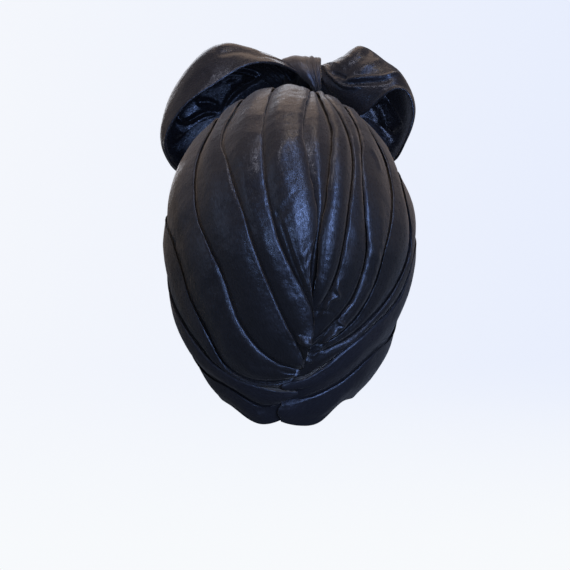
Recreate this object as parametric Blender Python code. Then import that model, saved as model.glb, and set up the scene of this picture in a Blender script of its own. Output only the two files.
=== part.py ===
"""Turban headwrap: a pre-tied wound wrap of black satin with a bow on top.

Frame: +Z up, -Y the wearer's front, +X the wearer's left. The origin is the centre of the
opening that the head goes into, halfway between the nape rim and the forehead rim.
All tables are in millimetres; the meshes are in metres.

The wrap is laid out in three steps.
1. FORM is the smooth egg under the pleats.
2. Each fold is a line on that form, from the seam at the back, round or over the crown, to
   the seam at the front. The stretch of a fold that shows from behind is given as it is
   seen from EYE: a pair (x, z) lies in the plane y = 0 and is carried along the line of
   sight onto the form. The stretch beyond is given as points (x, y, z) close to the form.
3. Between two folds lies one pleat: it is highest at its own folded edge, and it tucks
   under the edge of the next pleat out from the centre.
"""

import math

import bpy
import numpy as np

MM = 0.001

# Driving dimensions, in millimetres
WALL = 5.0            # wound layers under the pleats
GAP = 0.8             # between two wraps that meet
TUCK = 0.3            # height of a pleat where it tucks under the next
BOW_CLOTH = 2.4       # doubled cloth of the bow
STATIONS = 25         # rows along a fold
BOW_ROWS = 27         # rows round a bow loop
BOW_COLUMNS = 11      # columns across its cloth
KNOT_ROWS = 40        # rows round the knot
KNOT_COLUMNS = 9      # columns along it
PLEAT_COLUMNS = (0.0, 0.07, 0.38, 0.72)  # share of a pleat's width, from its own edge

EYE = np.array([0.0, 1135.7, 154.5])
CENTRE = np.array([0.0, 10.0, 80.0])     # every wall point lies on one ray from here

# The smooth form: half widths to the wearer's left and right, and where its widest
# line, its back and its front lie in y, at each height z.
FORM_COLUMNS = ("z", "left", "right", "middle", "back", "front")
FORM = (
    (-105, 26, 26, 54, 72, 36),
    (-85, 37, 36, 54, 86, 10),
    (-58, 49, 47, 55, 95, -30),
    (-40, 56, 58, 47, 101, -58),
    (-20, 69, 75, 34, 107, -84),
    (5, 86, 91, 20, 114, -98),
    (30, 97, 100, 10, 120, -104),
    (60, 103, 110, 6, 124, -108),
    (95, 106, 115, 4, 127, -112),
    (125, 103, 112, 2, 124, -113),
    (155, 94, 100, -3, 115, -110),
    (180, 80, 86, -8, 101, -103),
    (200, 62, 69, -12, 79, -92),
    (215, 44, 50, -14, 52, -75),
    (224, 29, 32, -15, 27, -55),
    (230, 0, 0, -15, -15, -15),
)

# The seams where the folds of both sides meet. Rows run down the back from the point of
# the V, and down the front from under the knot.
BACK_SEAM = ((-24, 42), (-25, 19), (-21, 1), (-14, -13), (-9, -24), (-4, -34), (0, -44),
             (2, -53), (3, -61), (3, -69))
FRONT_SEAM = ((-16, 221), (-14, 205), (-10, 180), (-6, 150), (-3, 110), (0, 65))  # (x, z)

# One row per fold: the height on the back seam where it starts, the stretch that shows
# from behind, the stretch beyond, and the height on the front seam where it ends.
FOLD_COLUMNS = ("name", "start_z", "seen", "beyond", "front_z")
CROWN_PARTING = ("parting", 42, ((-22, 76), (-27, 103), (-23, 140), (-17, 172), (-14, 194),
                                 (-16, 213), (-19, 223)), ((-19, -35, 229),), 219)
LEFT_CROWN = (
    CROWN_PARTING,
    ("left_1", -1, ((-25, 22), (-16, 45), (4, 87), (17, 131), (21, 176), (20, 204),
                    (15, 221)), ((6, -38, 227),), 211),
    ("left_2", -15, ((2, 23), (20, 64), (38, 115), (50, 154), (57, 179), (54, 194),
                     (46, 208)), ((28, -48, 216),), 203),
    ("left_3", -25, ((18, -9), (46, 32), (61, 73), (77, 109), (81, 140), (77, 169),
                     (66, 192)), ((46, -58, 198),), 192),
    ("left_4", -34, ((30, -32), (56, -15), (71, 14), (85, 42), (93, 70), (101, 95)),
     ((101, -20, 119), (67, -80, 142)), 172),
    ("left_5", -44, ((34, -33), (66, -13), (92, 22), (104, 51)),
     ((104, -10, 70), (74, -78, 98)), 140),
)
LEFT_NAPE = (
    LEFT_CROWN[-1],
    ("left_6", -56, ((21, -56), (38, -47), (53, -37)),
     ((80, 30, -6), (90, -15, 27), (66, -77, 66)), 106),
    ("left_rim", -69, ((21, -72), (36, -65), (50, -54)),
     ((64, 42, -36), (73, 18, -19), (82, -18, 7), (62, -74, 46)), 65),
)
RIGHT_CROWN = (
    CROWN_PARTING,
    ("right_1", 36, ((-30, 69), (-32, 100), (-38, 131), (-42, 167), (-43, 189), (-37, 210),
                     (-32, 220)), ((-26, -38, 228),), 215),
    ("right_2", 24, ((-38, 45), (-51, 79), (-58, 127), (-61, 163), (-54, 195), (-46, 209),
                     (-39, 218)), ((-32, -42, 223),), 208),
    ("right_3", -5, ((-42, 19), (-59, 40), (-73, 82), (-71, 127), (-69, 167), (-65, 193),
                     (-58, 206)), ((-44, -48, 214),), 199),
    ("right_4", -10, ((-51, 12), (-75, 42), (-89, 82), (-96, 127), (-90, 163), (-69, 199)), ((-53, -52, 204),), 189),
    ("right_5", -15, ((-54, 6), (-84, 33), (-106, 69), (-112, 100), (-107, 133)),
     ((-97, -30, 156), (-66, -82, 154)), 176),
    ("right_6", -36, ((-23, -26), (-54, -2), (-84, 23), (-105, 51), (-113, 76)),
     ((-110, 0, 96), (-78, -78, 118)), 150),
)
RIGHT_NAPE = (
    RIGHT_CROWN[-1],
    ("right_7", -55, ((-30, -44), (-59, -26), (-80, -6)),
     ((-94, 22, 20), (-94, -25, 47), (-67, -79, 77)), 110),
    ("right_rim", -69, ((-14, -73), (-34, -68), (-52, -51)),
     ((-64, 42, -36), (-75, 18, -19), (-84, -18, 7), (-62, -74, 46)), 65),
)

# The bow: one row per section of a loop's cloth, from the top of the knot outward, round
# the loop's end and back to the bottom of the knot. Each column is a point (x, z, y): a
# pair (x, z) as seen from EYE, and its depth y. The hollow opens to the back.
BOW_POINTS = ("rear", "crease", "ridge", "fore", "front")
LEFT_LOOP = (
    ((-11, 245, -62), (-8, 249, -68), (-5.5, 252, -77), (-5.5, 246, -90), (-6.5, 238, -96)),
    ((8, 253, -46), (10, 257, -57), (12, 259, -73), (10, 246, -104), (8, 224, -110)),
    ((34, 252, -32), (37, 262, -46), (38, 267, -68), (34, 246, -117), (30, 210, -122)),
    ((62, 236, -24), (62, 256, -38), (60, 269, -66), (60, 240, -125), (56, 198, -128)),
    ((86, 220, -20), (88, 235, -36), (91, 242, -66), (87, 224, -123), (78, 194, -127)),
    ((103, 199, -22), (107, 205, -40), (108, 207, -66), (102, 202, -116), (90, 190, -122)),
    ((108, 180, -26), (110, 180, -44), (109, 180, -66), (104, 181, -106), (92, 187, -112)),
    ((99, 161, -36), (98, 158, -50), (96, 157, -70), (89, 167, -100), (83, 195, -106)),
    ((74, 166, -74), (72, 162, -82), (69, 161, -91), (66, 176, -104), (60, 206, -108)),
    ((44, 191, -92), (41, 188, -96), (38, 186, -101), (37, 198, -108), (34, 216, -108)),
    ((15, 219, -86), (13, 217, -90), (12, 216, -94), (12, 221, -100), (11, 228, -102)),
    ((-14, 229, -73), (-13, 226, -77), (-11, 224, -81), (-8, 226, -87), (-6, 230, -90)),
)
RIGHT_LOOP = (
    ((-32, 228, -64), (-32, 244, -62), (-32, 251, -77), (-32, 246, -90), (-32, 238, -96)),
    ((-46, 214, -58), (-45, 235, -48), (-49, 257, -73), (-47, 245, -104), (-45, 224, -110)),
    ((-68, 208, -38), (-62, 236, -38), (-67, 267, -72), (-64, 243, -114), (-61, 206, -119)),
    ((-88, 226, -26), (-80, 240, -35), (-84, 258, -70), (-80, 238, -118), (-77, 196, -122)),
    ((-103, 232, -23), (-98, 240, -34), (-99, 247, -66), (-95, 228, -116), (-88, 190, -120)),
    ((-112, 225, -22), (-112, 227, -40), (-111, 229, -64), (-104, 212, -110), (-93, 187, -115)),
    ((-115, 204, -24), (-115, 205, -42), (-113, 205, -64), (-106, 198, -102), (-94, 186, -105)),
    ((-107, 181, -30), (-106, 179, -46), (-104, 178, -66), (-97, 183, -96), (-86, 195, -98)),
    ((-96, 165, -52), (-93, 163, -62), (-89, 162, -76), (-83, 176, -96), (-75, 202, -100)),
    ((-67, 177, -82), (-64, 175, -89), (-60, 175, -96), (-58, 187, -103), (-54, 208, -104)),
    ((-46, 206, -88), (-45, 204, -92), (-44, 203, -97), (-43, 211, -102), (-42, 220, -103)),
    ((-32, 228, -73), (-32, 225, -77), (-32, 223, -81), (-32, 226, -87), (-32, 230, -90)),
)

# The knot: a band drawn round the cloth. Rows go round it, from its top down its back.
KNOT_SECTIONS_COLUMNS = ("angle", "y", "z", "left_x", "right_x")
KNOT_SECTIONS = (
    (0, -78, 256, -6, -31),
    (45, -65, 252, -8, -31),
    (90, -58, 241, -16, -31),
    (135, -61, 229, -24, -31),
    (180, -74, 221, -20, -31),
    (225, -90, 222, -10, -31),
    (270, -99, 236, -7, -31),
    (315, -93, 250, -6, -31),
)
KNOT_PLEATS = 5
KNOT_PLEAT_DEPTH = 1.0


def spline(points, samples, closed=False):
    """A smooth curve through the points, at shares (0 to 1) of its length."""
    p = np.asarray(points, float)
    if closed:
        n = len(p)
        p = np.vstack([p[-3:], p, p[:4]])
    chord = np.linalg.norm(np.diff(p, axis=0), axis=1)
    t = np.concatenate([[0.0], np.cumsum(np.maximum(chord, 1e-9) ** 0.75)])
    slopes = natural_slopes(t, p)
    lo, hi = (t[3], t[3 + n]) if closed else (t[0], t[-1])
    fine = np.linspace(lo, hi, 801)
    q = hermite(t, p, slopes, fine)
    run = np.concatenate([[0.0], np.cumsum(np.linalg.norm(np.diff(q, axis=0), axis=1))])
    at = np.interp(np.asarray(samples) * run[-1], run, fine)
    return hermite(t, p, slopes, at)


def natural_slopes(t, p):
    """Slopes of the natural cubic spline through rows p at t."""
    n = len(t)
    h = np.diff(t)
    a = np.zeros((n, n))
    b = np.zeros((n,) + p.shape[1:])
    d = np.diff(p, axis=0) / h[:, None]
    a[0, 0], a[0, 1] = 2 * h[0], h[0]
    b[0] = 3 * h[0] * d[0]
    a[-1, -1], a[-1, -2] = 2 * h[-1], h[-1]
    b[-1] = 3 * h[-1] * d[-1]
    for i in range(1, n - 1):
        a[i, i - 1], a[i, i], a[i, i + 1] = h[i], 2 * (h[i - 1] + h[i]), h[i - 1]
        b[i] = 3 * (h[i] * d[i - 1] + h[i - 1] * d[i])
    return np.linalg.solve(a, b)


def hermite(t, p, m, at):
    at = np.asarray(at, float)
    i = np.clip(np.searchsorted(t, at, side="right") - 1, 0, len(t) - 2)
    h = (t[i + 1] - t[i])[:, None]
    u = ((at - t[i]) / (t[i + 1] - t[i]))[:, None]
    return ((1 + 2 * u) * (1 - u) ** 2 * p[i] + u * (1 - u) ** 2 * h * m[i]
            + u * u * (3 - 2 * u) * p[i + 1] + u * u * (u - 1) * h * m[i + 1])


def form_table():
    """The form's columns as squares of half sizes, which make a round crown."""
    rows = np.array(FORM, float)
    z, left, right, middle, back, front = rows.T
    return z, np.column_stack([left ** 2, right ** 2, middle, (back - middle) ** 2,
                               (middle - front) ** 2])


FORM_Z, FORM_SQUARES = form_table()
FORM_SLOPES = np.gradient(FORM_SQUARES, FORM_Z, axis=0)


def inside(p):
    """Under 1 inside the form, over 1 outside it."""
    z = np.clip(p[..., 2].ravel(), FORM_Z[0], FORM_Z[-1])
    c = hermite(FORM_Z, FORM_SQUARES, FORM_SLOPES, z)
    x, y = p[..., 0].ravel(), p[..., 1].ravel() - c[:, 2]
    wide = np.maximum(np.where(x > 0, c[:, 0], c[:, 1]), 1e-3)
    deep = np.maximum(np.where(y > 0, c[:, 3], c[:, 4]), 1e-3)
    f = x * x / wide + y * y / deep
    out = np.maximum(p[..., 2].ravel() - FORM_Z[-1], 0) + np.maximum(FORM_Z[0] - p[..., 2].ravel(), 0)
    return (f + out).reshape(p.shape[:-1])


def reach(directions):
    """How far the form lies from CENTRE along each unit direction."""
    lo = np.full(directions.shape[:-1], 5.0)
    hi = np.full(directions.shape[:-1], 260.0)
    for _ in range(34):
        mid = (lo + hi) / 2
        is_in = inside(CENTRE + directions * mid[..., None]) < 1
        lo, hi = np.where(is_in, mid, lo), np.where(is_in, hi, mid)
    return (lo + hi) / 2


def unit(v):
    return v / np.linalg.norm(v, axis=-1, keepdims=True)


def sight(x, z, y):
    """The point at depth y on the line of sight through (x, 0, z)."""
    k = (EYE[1] - y) / EYE[1]
    return np.array([x * k, y, EYE[2] + (z - EYE[2]) * k])


def seen_direction(x, z):
    """Direction of the form's point seen at (x, z), or of its outline's nearest point."""
    depths = np.linspace(150.0, -60.0, 421)
    line = np.array([sight(x, z, y) for y in depths])
    f = inside(line)
    hits = np.nonzero(f < 1)[0]
    if len(hits) and hits[0] > 0:
        i = hits[0]
        u = (f[i - 1] - 1) / (f[i - 1] - f[i])
        point = line[i - 1] + u * (line[i] - line[i - 1])
    else:
        point = line[np.argmin(f)]
    return unit(point - CENTRE)


def back_seam():
    return np.array([seen_direction(x, z) for x, z in BACK_SEAM])


def front_seam():
    rows = []
    for x, z in FRONT_SEAM:
        deep = float(np.interp(z, FORM_Z, np.array(FORM, float)[:, 5]))
        rows.append(unit(np.array([x, deep, z]) - CENTRE))
    return np.array(rows)


SEAM_SAMPLES = np.linspace(0, 1, 201)
BACK_CURVE = unit(spline(back_seam(), SEAM_SAMPLES))
FRONT_CURVE = unit(spline(front_seam(), SEAM_SAMPLES))
BACK_TABLE_Z = spline(np.array(BACK_SEAM, float), SEAM_SAMPLES)[:, 1]
FRONT_TABLE_Z = spline(np.array(FRONT_SEAM, float), SEAM_SAMPLES)[:, 1]


def along(curve, shares):
    return unit(np.column_stack([np.interp(shares, SEAM_SAMPLES, curve[:, k]) for k in range(3)]))


def share_at(heights, z):
    """Share of a seam's length at table height z (heights fall along a seam)."""
    return float(np.interp(-z, -heights, SEAM_SAMPLES))


def fold_line(fold, shares):
    """Directions along one fold, from the back seam to the front seam."""
    _, start_z, seen, beyond, front_z = fold
    points = [along(BACK_CURVE, [share_at(BACK_TABLE_Z, start_z)])[0]]
    points += [seen_direction(x, z) for x, z in seen]
    points += [unit(np.array(p, float) - CENTRE) for p in beyond]
    points.append(along(FRONT_CURVE, [share_at(FRONT_TABLE_Z, front_z)])[0])
    return unit(spline(points, shares))


def pleat_height(v, edge, puff):
    """Height over the form across a pleat: v runs from its own edge to where it tucks in."""
    return TUCK + (edge - TUCK) * (1 - v) ** 1.4 + puff * math.sin(math.pi * min(v * 1.05, 1))


def wrap_grid(folds, edges, puffs, hem):
    """Directions and heights of a wrap's outer face: rows along the folds, columns across."""
    shares = np.linspace(0, 1, STATIONS)
    lines = [fold_line(f, shares) for f in folds]
    columns, heights, position = [], [], []
    for k in range(len(folds) - 1):
        for v in PLEAT_COLUMNS:
            columns.append(unit((1 - v) * lines[k] + v * lines[k + 1]))
            first = k == 0 and v == 0.0
            heights.append(edges[k] if first or v > 0.0 and v < 0.1 else
                           TUCK if v == 0.0 else pleat_height(v, edges[k], puffs[k]))
            position.append(k + v)
    columns.append(lines[-1])
    heights.append(hem)
    position.append(len(folds) - 1)
    grid = np.stack(columns, axis=1)
    high = np.tile(np.array(heights), (STATIONS, 1))
    # the ends follow the seams, and pleats flatten a little where they run into them
    for end, curve, table, column in ((0, BACK_CURVE, BACK_TABLE_Z, 1), (-1, FRONT_CURVE, FRONT_TABLE_Z, 4)):
        marks = [share_at(table, f[column]) for f in folds]
        target = along(curve, np.interp(position, range(len(folds)), marks))
        shift = target - grid[end]
        for j in range(STATIONS):
            s = shares[j] if end == 0 else 1 - shares[j]
            fade = max(0.0, 1 - s / 0.14) ** 2
            grid[j] = unit(grid[j] + fade * shift)
            high[j] *= 1 - 0.45 * max(0.0, 1 - s / 0.08)
    return grid, high


def inset(grid):
    """Draws the four borders in by half the gap between neighbours."""
    g = grid.copy()
    for take in ((np.s_[:, 0], np.s_[:, 1]), (np.s_[:, -1], np.s_[:, -2]),
                 (np.s_[0], np.s_[1]), (np.s_[-1], np.s_[-2])):
        here, near = g[take[0]], g[take[1]]
        step = near - here
        step /= np.maximum(np.linalg.norm(step, axis=-1, keepdims=True), 1e-9)
        g[take[0]] = unit(here + step * (GAP / 2) / 120.0)
    return g


def shell_mesh(outer, inner):
    """A closed wall between two grids of points of the same size."""
    rows, cols = outer.shape[:2]
    points = np.concatenate([outer.reshape(-1, 3), inner.reshape(-1, 3)])
    base = rows * cols

    def at(j, c, side):
        return side * base + j * cols + c

    faces = []
    for j in range(rows - 1):
        for c in range(cols - 1):
            faces.append((at(j, c, 0), at(j, c + 1, 0), at(j + 1, c + 1, 0), at(j + 1, c, 0)))
            faces.append((at(j, c, 1), at(j + 1, c, 1), at(j + 1, c + 1, 1), at(j, c + 1, 1)))
    for j in range(rows - 1):
        faces.append((at(j, 0, 0), at(j + 1, 0, 0), at(j + 1, 0, 1), at(j, 0, 1)))
        faces.append((at(j, cols - 1, 0), at(j, cols - 1, 1), at(j + 1, cols - 1, 1), at(j + 1, cols - 1, 0)))
    for c in range(cols - 1):
        faces.append((at(0, c, 0), at(0, c, 1), at(0, c + 1, 1), at(0, c + 1, 0)))
        faces.append((at(rows - 1, c, 0), at(rows - 1, c + 1, 0), at(rows - 1, c + 1, 1), at(rows - 1, c, 1)))
    return points, facing_out(points, faces)


def facing_out(points, faces):
    """Turns all faces round if together they enclose a negative volume."""
    volume = 0.0
    for f in faces:
        for i in range(1, len(f) - 1):
            volume += np.dot(points[f[0]], np.cross(points[f[i]], points[f[i + 1]]))
    return faces if volume > 0 else [tuple(reversed(f)) for f in faces]


def make_object(name, points, faces, material):
    mesh = bpy.data.meshes.new(name)
    mesh.from_pydata([tuple(p * MM) for p in points], [], faces)
    mesh.validate()
    mesh.shade_smooth()
    mesh.set_sharp_from_angle(angle=math.radians(50))
    obj = bpy.data.objects.new(name, mesh)
    bpy.context.scene.collection.objects.link(obj)
    obj.data.materials.append(material)
    return obj


def satin(name, colour, roughness):
    material = bpy.data.materials.new(name)
    material.use_nodes = True
    shader = material.node_tree.nodes["Principled BSDF"]
    shader.inputs["Base Color"].default_value = (*colour, 1.0)
    shader.inputs["Roughness"].default_value = roughness
    shader.inputs["Metallic"].default_value = 0.0
    material.diffuse_color = (*colour, 1.0)
    return material


def make_wrap(name, folds, edges, puffs, hem, material):
    grid, high = wrap_grid(folds, edges, puffs, hem)
    grid = inset(grid)
    far = reach(grid)
    outer = CENTRE + grid * (far + high)[..., None]
    inner = CENTRE + grid * (far - WALL)[..., None]
    points, faces = shell_mesh(outer, inner)
    return make_object(name, points, faces, material)


def loop_surface(rows, around, across):
    """A loop's cloth as a grid of points through the sections of its table."""
    net = np.array([[sight(x, z, y) for x, z, y in row] for row in rows])
    rounds = np.stack([spline(net[:, k], around) for k in range(net.shape[1])], axis=1)
    return np.stack([spline(r, across) for r in rounds])


def grid_normals(grid):
    du = np.gradient(grid, axis=0)
    dv = np.gradient(grid, axis=1)
    return unit(np.cross(du, dv))


def make_loop(name, rows, material):
    grid = loop_surface(rows, np.linspace(0, 1, BOW_ROWS), np.linspace(0, 1, BOW_COLUMNS))
    normal = grid_normals(grid)
    if np.sum(normal * (grid - grid.mean(axis=(0, 1)))) < 0:
        normal = -normal
    points, faces = shell_mesh(grid, grid - normal * BOW_CLOTH)
    return make_object(name, points, faces, material)


def make_knot(name, material):
    rows = np.array(KNOT_SECTIONS, float)
    turn = np.arange(KNOT_ROWS) / KNOT_ROWS
    ring = spline(rows[:, 1:5], turn, closed=True)
    middle = ring[:, :2].mean(axis=0)
    points, faces = [], []
    for y, z, left, right in ring:
        for c in range(KNOT_COLUMNS):
            t = c / (KNOT_COLUMNS - 1)
            bulge = 1 + 0.10 * math.sin(math.pi * t)
            groove = KNOT_PLEAT_DEPTH * abs(math.sin(math.pi * KNOT_PLEATS * t))
            arm = np.array([y, z]) - middle
            length = np.linalg.norm(arm)
            y2, z2 = middle + arm / length * (length * bulge * 0.94 + groove)
            k = (EYE[1] - y2) / EYE[1]
            points.append(np.array([(left + t * (right - left)) * k, y2, EYE[2] + (z2 - EYE[2]) * k]))
    for j in range(KNOT_ROWS):
        k = (j + 1) % KNOT_ROWS
        for c in range(KNOT_COLUMNS - 1):
            a, b = j * KNOT_COLUMNS + c, k * KNOT_COLUMNS + c
            faces.append((a, b, b + 1, a + 1))
    for c, order in ((0, 1), (KNOT_COLUMNS - 1, -1)):
        ring_ids = [j * KNOT_COLUMNS + c for j in range(KNOT_ROWS)]
        centre = np.mean([points[i] for i in ring_ids], axis=0)
        points.append(centre)
        hub = len(points) - 1
        for j in range(KNOT_ROWS):
            a, b = ring_ids[j], ring_ids[(j + 1) % KNOT_ROWS]
            faces.append((b, a, hub) if order > 0 else (a, b, hub))
    points = np.array(points)
    return make_object(name, points, facing_out(points, faces), material)


def main():
    for obj in list(bpy.data.objects):
        bpy.data.objects.remove(obj, do_unlink=True)

    crown_cloth = satin("crown_satin", (0.020, 0.020, 0.026), 0.42)
    nape_cloth = satin("nape_satin", (0.016, 0.017, 0.025), 0.45)
    bow_cloth = satin("bow_satin", (0.018, 0.019, 0.026), 0.40)
    knot_cloth = satin("knot_satin", (0.022, 0.022, 0.027), 0.40)

    make_wrap("left_crown_wrap", LEFT_CROWN, (5.2, 3.6, 3.8, 3.8, 3.4),
              (2.6, 1.4, 1.8, 2.2, 1.6), 0.4, crown_cloth)
    make_wrap("right_crown_wrap", RIGHT_CROWN, (0.4, 4.8, 3.6, 3.6, 2.6, 3.0),
              (3.0, 1.8, 2.0, 1.8, 1.8, 1.4), 0.4, crown_cloth)
    make_wrap("left_nape_wrap", LEFT_NAPE, (3.0, 2.6), (1.4, 1.8), 1.2, nape_cloth)
    make_wrap("right_nape_wrap", RIGHT_NAPE, (4.0, 3.0), (1.8, 1.8), 1.2, nape_cloth)
    make_loop("bow_left_loop", LEFT_LOOP, bow_cloth)
    make_loop("bow_right_loop", RIGHT_LOOP, bow_cloth)
    make_knot("bow_knot", knot_cloth)


main()
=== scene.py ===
"""Turban headwrap, seen from behind: pleated black satin with a bow on top.

All tables are in millimetres and the meshes in metres, in the frame of the CAD model:
+Z up, -Y the wearer's front, +X the wearer's left. The form, the fold lines and the bow's
sections are the ones of the CAD model; here they carry the cloth's rolled edges, tucks,
hems and creases.
"""

import math

import bpy
import numpy as np
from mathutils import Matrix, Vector


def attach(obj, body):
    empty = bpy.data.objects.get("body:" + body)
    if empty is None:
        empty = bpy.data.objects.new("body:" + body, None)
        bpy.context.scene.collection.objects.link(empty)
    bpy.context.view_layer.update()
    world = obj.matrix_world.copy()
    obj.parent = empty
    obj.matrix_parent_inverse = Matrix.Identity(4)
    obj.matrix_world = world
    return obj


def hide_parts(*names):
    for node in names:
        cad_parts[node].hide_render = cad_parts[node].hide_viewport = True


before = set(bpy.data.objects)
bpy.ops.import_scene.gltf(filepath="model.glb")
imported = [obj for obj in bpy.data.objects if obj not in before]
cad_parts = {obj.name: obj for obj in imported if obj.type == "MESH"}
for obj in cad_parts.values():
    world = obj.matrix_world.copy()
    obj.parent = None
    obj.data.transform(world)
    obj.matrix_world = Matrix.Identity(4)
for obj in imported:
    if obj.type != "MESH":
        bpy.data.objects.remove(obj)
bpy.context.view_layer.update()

MM = 0.001
PX = 0.9              # one charted unit of the outline is this many millimetres
WALL = 5.0
EYE = np.array([0.0, 1135.7, 154.5])
CENTRE = np.array([0.0, 10.0, 80.0])
STATIONS = 330        # rows along a fold
FACE_COLUMNS = 22     # columns across a pleat's face
ROLL_COLUMNS = 9      # columns round a pleat's folded edge
BOW_ROWS = 390
BOW_COLUMNS = 110
KNOT_ROWS = 180
KNOT_COLUMNS = 130

# z, left and right half width, widest line, back and front in y
FORM = (
    (-105, 26, 26, 54, 72, 36),
    (-85, 37, 36, 54, 86, 10),
    (-58, 49, 47, 55, 95, -30),
    (-40, 56, 58, 47, 101, -58),
    (-20, 69, 75, 34, 107, -84),
    (5, 86, 91, 20, 114, -98),
    (30, 97, 100, 10, 120, -104),
    (60, 103, 110, 6, 124, -108),
    (95, 106, 115, 4, 127, -112),
    (125, 103, 112, 2, 124, -113),
    (155, 94, 100, -3, 115, -110),
    (180, 80, 86, -8, 101, -103),
    (200, 62, 69, -12, 79, -92),
    (215, 44, 50, -14, 52, -75),
    (224, 29, 32, -15, 27, -55),
    (230, 0, 0, -15, -15, -15),
)
BACK_SEAM = ((-24, 42), (-25, 19), (-21, 1), (-14, -13), (-9, -24), (-4, -34), (0, -44),
             (2, -53), (3, -61), (3, -69))
FRONT_SEAM = ((-16, 221), (-14, 205), (-10, 180), (-6, 150), (-3, 110), (0, 65))

# name, height on the back seam, stretch seen from EYE (x, z), stretch beyond (x, y, z),
# height on the front seam
CROWN_PARTING = ("parting", 42, ((-22, 76), (-27, 103), (-23, 140), (-17, 172), (-14, 194),
                                 (-16, 213), (-19, 223)), ((-19, -35, 229),), 219)
LEFT_CROWN = (
    CROWN_PARTING,
    ("left_1", -1, ((-25, 22), (-16, 45), (4, 87), (17, 131), (21, 176), (20, 204),
                    (15, 221)), ((6, -38, 227),), 211),
    ("left_2", -15, ((2, 23), (20, 64), (38, 115), (50, 154), (57, 179), (54, 194),
                     (46, 208)), ((28, -48, 216),), 203),
    ("left_3", -25, ((18, -9), (46, 32), (61, 73), (77, 109), (81, 140), (77, 169),
                     (66, 192)), ((46, -58, 198),), 192),
    ("left_4", -34, ((30, -32), (56, -15), (71, 14), (85, 42), (93, 70), (101, 95)),
     ((101, -20, 119), (67, -80, 142)), 172),
    ("left_5", -44, ((34, -33), (66, -13), (92, 22), (104, 51)),
     ((104, -10, 70), (74, -78, 98)), 140),
)
LEFT_NAPE = (
    LEFT_CROWN[-1],
    ("left_6", -56, ((21, -56), (38, -47), (53, -37)),
     ((80, 30, -6), (90, -15, 27), (66, -77, 66)), 106),
    ("left_rim", -69, ((21, -72), (36, -65), (50, -54)),
     ((64, 42, -36), (73, 18, -19), (82, -18, 7), (62, -74, 46)), 65),
)
RIGHT_CROWN = (
    CROWN_PARTING,
    ("right_1", 36, ((-30, 69), (-32, 100), (-38, 131), (-42, 167), (-43, 189), (-37, 210),
                     (-32, 220)), ((-26, -38, 228),), 215),
    ("right_2", 24, ((-38, 45), (-51, 79), (-58, 127), (-61, 163), (-54, 195), (-46, 209),
                     (-39, 218)), ((-32, -42, 223),), 208),
    ("right_3", -5, ((-42, 19), (-59, 40), (-73, 82), (-71, 127), (-69, 167), (-65, 193),
                     (-58, 206)), ((-44, -48, 214),), 199),
    ("right_4", -10, ((-51, 12), (-75, 42), (-89, 82), (-96, 127), (-90, 163), (-69, 199)),
     ((-53, -52, 204),), 189),
    ("right_5", -15, ((-54, 6), (-84, 33), (-106, 69), (-112, 100), (-107, 133)),
     ((-97, -30, 156), (-66, -82, 154)), 176),
    ("right_6", -36, ((-23, -26), (-54, -2), (-84, 23), (-105, 51), (-113, 76)),
     ((-110, 0, 96), (-78, -78, 118)), 150),
)
RIGHT_NAPE = (
    RIGHT_CROWN[-1],
    ("right_7", -55, ((-30, -44), (-59, -26), (-80, -6)),
     ((-94, 22, 20), (-94, -25, 47), (-67, -79, 77)), 110),
    ("right_rim", -69, ((-14, -73), (-34, -68), (-52, -51)),
     ((-64, 42, -36), (-75, 18, -19), (-84, -18, 7), (-62, -74, 46)), 65),
)

# How each pleat's folded edge swells, by its height z as seen: how wide the roll is and
# how high it stands. A soft wide roll catches the light in a band, a tight one in a line.
LEFT_CROWN_ROLLS = (
    ((222, 8, 4.0), (195, 9, 5.0), (176, 14, 6.0), (132, 17, 6.5), (96, 15, 6.0), (70, 8, 5.0), (42, 5, 3.6)),
    ((226, 3, 3.2), (203, 7, 4.0), (182, 12, 4.8), (158, 14, 5.2), (128, 8, 4.4), (113, 3.6, 3.7), (78, 4, 3.6), (40, 4.5, 3.6), (18, 6, 4.0), (7, 10, 4.6), (-2, 7, 4.0)),
    ((196, 2.2, 3.0), (166, 2.6, 3.4), (150, 5, 3.8), (131, 6.5, 4.0), (118, 4, 3.6), (96, 2.2, 3.6), (15, 2.2, 3.4), (-10, 2.4, 3.0)),
    ((163, 1.8, 3.0), (105, 2.0, 3.2), (84, 5.5, 4.2), (52, 10.5, 5.2), (14, 12.5, 5.4), (-6, 8, 4.4), (-22, 3, 3.0)),
    ((95, 1.4, 1.4), (60, 1.5, 2.2), (14, 2.0, 3.2), (-3, 6, 4.0), (-16, 3, 3.4), (-32, 2.0, 2.6)),
)
LEFT_NAPE_ROLLS = (
    ((60, 2.0, 1.6), (30, 2.4, 2.4), (0, 3.0, 4.2), (-25, 3.4, 4.2), (-44, 2.4, 3.0)),
    ((-10, 1.8, 1.2), (-35, 2.0, 2.2), (-50, 2.0, 2.8)),
)
RIGHT_CROWN_ROLLS = (
    ((220, 1.0, 0.4), (42, 1.0, 0.4)),
    ((222, 6, 4.0), (190, 8, 5.0), (160, 13, 6.8), (120, 14, 7.0), (90, 13, 6.6), (60, 8, 5.4), (42, 5, 4.0)),
    ((218, 5, 4.0), (190, 5, 4.2), (165, 3.2, 4.2), (60, 2.6, 4.4), (24, 2.6, 4.4)),
    ((206, 5, 4.0), (186, 5, 4.0), (170, 2.4, 3.8), (140, 6, 4.6), (86, 7.5, 5.0), (50, 4, 4.4), (20, 3.4, 4.4)),
    ((200, 2.6, 3.2), (120, 2.2, 3.2), (80, 1.8, 2.4), (0, 1.6, 2.2)),
    ((133, 1.8, 1.6), (100, 2.4, 2.4), (60, 2.8, 3.4), (10, 3.0, 4.4), (-10, 3.0, 4.4)),
)
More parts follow.
